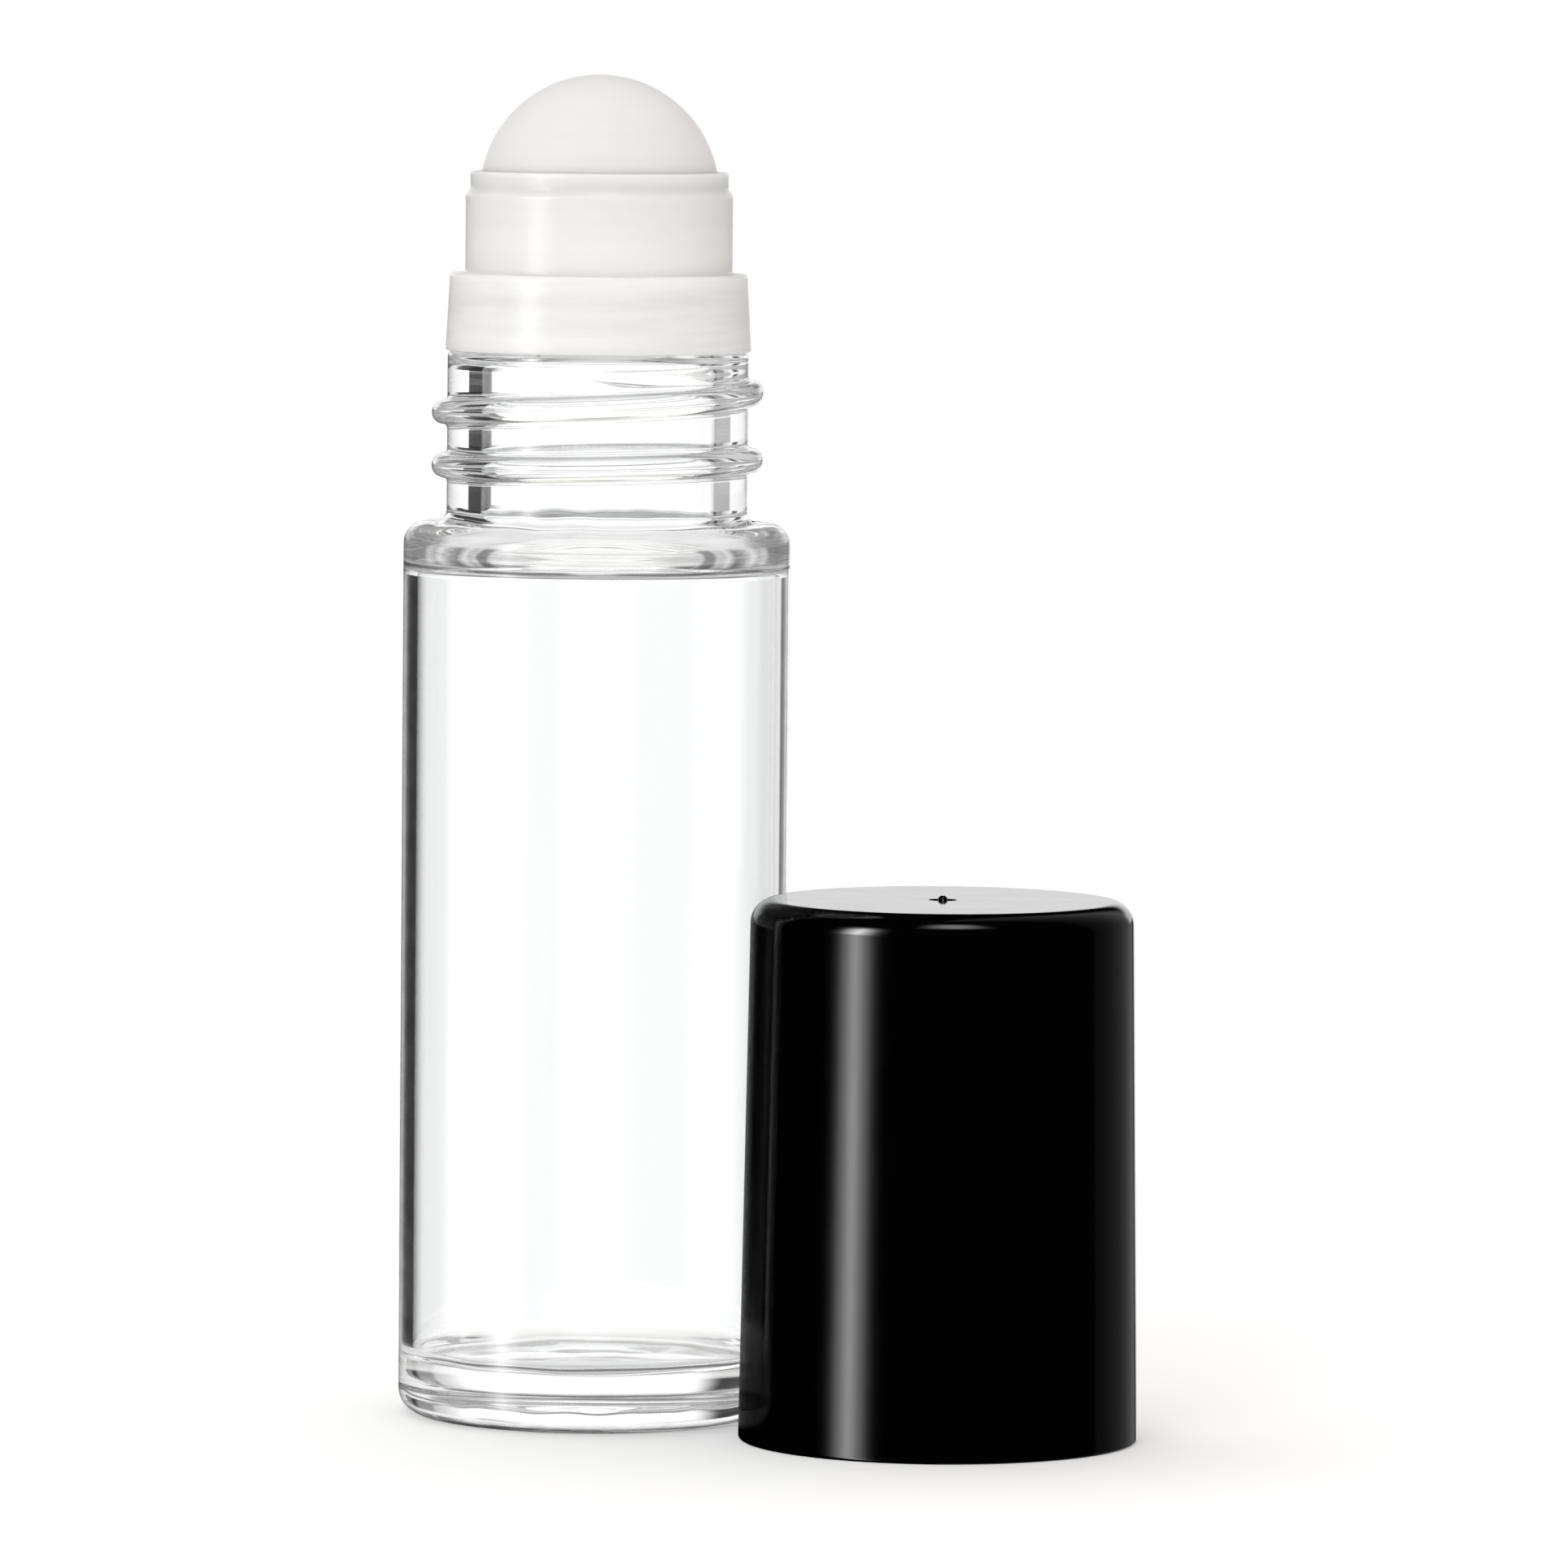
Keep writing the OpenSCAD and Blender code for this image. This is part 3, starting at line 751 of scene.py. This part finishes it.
# What gloss reflects: the back wall low down, a strip of light to the front left, a softbox over the
# camera and a faint light to the right. Ahead is in degrees from the camera's side.
gloss = {
    "back": 1.12, "backTurn": (-27.0, 27.0, 3.0, 3.0), "backRise": (1.0, 12.0, 1.0, 4.0),
    "edgeTurn": (3.0, 14.0, 2.0, 2.0), "edgeRise": (2.0, 0.0),
    "strip": 6.6, "stripTurn": -126.0, "stripHalf": 6.0, "stripSides": (0.06, 0.35),
    "stripRise": (-40.0, 38.0, 4.0, 5.0), "hot": 1.6, "hotRise": (8.0, 32.0, 4.0, 4.0),
    "right": 0.25, "rightTurn": (20.0, 77.0, 6.0, 2.0), "rightEnd": 76.0, "rightSpan": 45.0,
    "rightPower": 1.5, "rightGain": 0.8, "rightLeast": 0.2, "rightMost": 1.2,
    "over": 4.0, "overRise": (50.0, 70.0, 5.0, 5.0), "overAhead": (-8.0, 28.0, 16.0, 16.0),
}


def bell(tree, value, centre, half):
    # 1 at the centre, a half at this distance from it, with soft tails
    away = maths(tree, "DIVIDE", maths(tree, "SUBTRACT", value, centre), half)
    return maths(tree, "DIVIDE", 1.0, times(tree, away, away, 1.0))


def throughPicture(tree, turn, rise, path):
    f = flags
    mirrored = maths(tree, "GREATER_THAN", path["Glossy Depth"], 0.5)
    twoSkins = maths(tree, "LESS_THAN", path["Transmission Depth"], 2.5)
    once = times(tree, mirrored, twoSkins)
    lens = times(tree, maths(tree, "SUBTRACT", 1.0, mirrored), twoSkins)
    tube = maths(tree, "SUBTRACT", 1.0, lens)
    folded = maths(tree, "ABSOLUTE", maths(tree, "WRAP", turn, 45.0, -45.0))
    corner = blend(tree, once, fade(tree, folded, *f["corners"]), fade(tree, folded, *f["cornersOnce"]))
    corner = blend(tree, lens, corner, fade(tree, folded, *f["cornersLens"]))
    body = times(tree, corner, -f["cornersDark"], 1.0)
    right = blend(tree, fade(tree, turn, *f["greyFrom"]), 1.0, f["grey"])
    right = blend(tree, fade(tree, turn, *f["darkFrom"]), right, f["dark"])
    right = blend(tree, window(tree, turn, *f["slit"]), right, f["slitLevel"])
    thin = times(tree, window(tree, turn, *f["thin"]), once)
    right = times(tree, right, times(tree, thin, -f["thinDark"], 1.0))
    start, end = f["right"]
    isRight = times(tree, maths(tree, "GREATER_THAN", turn, start), maths(tree, "LESS_THAN", turn, end))
    body = blend(tree, isRight, body, right)
    left = blend(tree, once, window(tree, turn, *f["upperLeft"]), window(tree, turn, *f["upperLeftOnce"]))
    upper = times(tree, left, -f["upperLeftDark"], 1.0)
    right = times(tree, window(tree, turn, *f["upperRight"]), once)
    upper = times(tree, right, -f["upperRightDark"], upper)
    picture = blend(tree, times(tree, fade(tree, rise, *f["upperFrom"]), tube), body, upper)
    ends = blend(tree, once, fade(tree, rise, *f["lowEnd"]), fade(tree, rise, *f["lowEndOnce"]))
    picture = blend(tree, ends, picture, 1.0)
    slot = times(tree, window(tree, rise, *f["slot"]), times(tree, tube, f["slotShare"]))
    picture = blend(tree, slot, picture, 1.0)
    picture = blend(tree, fade(tree, rise, *f["highEnd"]), picture, 1.0)
    ceiling = fade(tree, maths(tree, "ABSOLUTE", turn), *f["ceilingSides"])
    ceiling = times(tree, window(tree, rise, *f["ceiling"]), ceiling)
    picture = blend(tree, ceiling, picture, f["ceilingLevel"])
    ridge = times(tree, window(tree, turn, *f["ridgeTurn"]), window(tree, rise, *f["ridgeRise"]))
    picture = blend(tree, times(tree, ridge, once), picture, f["ridgeLevel"])
    picture = blend(tree, fade(tree, rise, *f["table"]), picture, times(tree, picture, f["tableShare"]))
    return blend(tree, fade(tree, path["Glossy Depth"], *f["evenAfter"]), picture, f["even"])


def glossPicture(tree, turn, rise, ahead):
    g = gloss
    back = times(tree, window(tree, turn, *g["backTurn"]), window(tree, rise, *g["backRise"]))
    edge = times(tree, window(tree, turn, *g["edgeTurn"]), fade(tree, rise, *g["edgeRise"]))
    back = times(tree, maths(tree, "MAXIMUM", back, edge), g["back"])
    strip = bell(tree, turn, g["stripTurn"], g["stripHalf"])
    strip = times(tree, strip, fade(tree, strip, *g["stripSides"]))
    strip = times(tree, strip, window(tree, rise, *g["stripRise"]))
    strip = times(tree, strip, times(tree, window(tree, rise, *g["hotRise"]), g["hot"], 1.0))
    strip = times(tree, strip, g["strip"])
    right = maths(tree, "DIVIDE", maths(tree, "SUBTRACT", g["rightEnd"], turn), g["rightSpan"])
    right = maths(tree, "POWER", maths(tree, "MAXIMUM", right, 0.0), g["rightPower"])
    right = maths(tree, "MINIMUM", times(tree, right, g["rightGain"], g["rightLeast"]), g["rightMost"])
    right = times(tree, right, window(tree, turn, *g["rightTurn"]))
    over = times(tree, window(tree, rise, *g["overRise"]), window(tree, ahead, *g["overAhead"]))
    picture = maths(tree, "MAXIMUM", times(tree, over, g["over"]), strip)
    picture = maths(tree, "MAXIMUM", picture, times(tree, right, g["right"]))
    return maths(tree, "MAXIMUM", picture, back)


def makeWorld():
    world = bpy.data.worlds.new("studio")
    bpy.context.scene.world = world
    world.use_nodes = True
    tree = world.node_tree
    tree.nodes.clear()
    way = addNode(tree, "TexCoord", {}).outputs["Generated"]
    x, y, z = addNode(tree, "SeparateXYZ", {0: way}).outputs
    turn = times(tree, maths(tree, "ARCTAN2", x, y), 180 / pi)
    ahead = times(tree, maths(tree, "ARCTAN2", x, times(tree, y, -1.0)), 180 / pi)
    rise = times(tree, maths(tree, "ARCSINE", z), 180 / pi)
    path = addNode(tree, "LightPath", {}).outputs
    colour = tint(tree, fade(tree, x, *studio["rosySide"]), studio["warm"], studio["rosy"])
    light = shade(tree, "Background", {"Color": colour, "Strength": studio["ambient"]})
    mirrored = glossPicture(tree, turn, rise, ahead)
    through = times(tree, throughPicture(tree, turn, rise, path), studio["through"])
    # what gloss, glass and the camera see instead of the plain light
    seenBy = [("Is Glossy Ray", mirrored), ("Is Transmission Ray", through), ("Is Camera Ray", 1.0)]
    for ray, level in seenBy:
        picture = shade(tree, "Background", {"Color": grey(1), "Strength": level})
        light = layer(tree, path[ray], light, picture)
    output = tree.nodes.new("ShaderNodeOutputWorld")
    tree.links.new(light, output.inputs["Surface"])


# place and size in millimetres; both look at the same point
lampTarget = (8, -6, 45)
lamps = {
    "overhead": {"place": (-100, 300, 850), "size": 600, "watts": 1.5},
    "front": {"place": (-200, -850, 330), "size": 500, "watts": 2.65},
}


def addLamp(name, look):
    data = bpy.data.lights.new(name, "AREA")
    data.shape = "DISK"
    data.size = look["size"] * mm
    data.energy = look["watts"]
    lamp = bpy.data.objects.new(name, data)
    bpy.context.scene.collection.objects.link(lamp)
    lamp.location = Vector(look["place"]) * mm
    target = Vector(lampTarget) * mm
    lamp.rotation_euler = (target - lamp.location).to_track_quat("-Z", "Y").to_euler()
    lamp.visible_glossy = False
    lamp.visible_transmission = False


makeWorld()
for name, look in lamps.items():
    addLamp(name, look)
print("lights made")


# Camera

camera = {"place": (13.61, -820.98, 105.135), "tilt": 85.858, "lean": 0.50, "lens": 262.2, "clip": (0.05, 20)}
# light runs far along the thick glass of the neck and the base
bounces = {"inGlass": 40, "seeThrough": 24, "diffuse": 12}


def makeCamera():
    data = bpy.data.cameras.new("camera")
    data.lens = camera["lens"]
    data.clip_start, data.clip_end = camera["clip"]
    viewer = bpy.data.objects.new("camera", data)
    bpy.context.scene.collection.objects.link(viewer)
    viewer.matrix_world = (Matrix.Translation(Vector(camera["place"]) * mm)
                           @ Matrix.Rotation(radians(camera["tilt"]), 4, "X")
                           @ Matrix.Rotation(radians(camera["lean"]), 4, "Z"))
    bpy.context.scene.camera = viewer


makeCamera()
bpy.context.scene.view_settings.view_transform = "Standard"
paths = bpy.context.scene.cycles
paths.max_bounces = paths.glossy_bounces = paths.transmission_bounces = bounces["inGlass"]
paths.transparent_max_bounces = bounces["seeThrough"]
paths.diffuse_bounces = bounces["diffuse"]
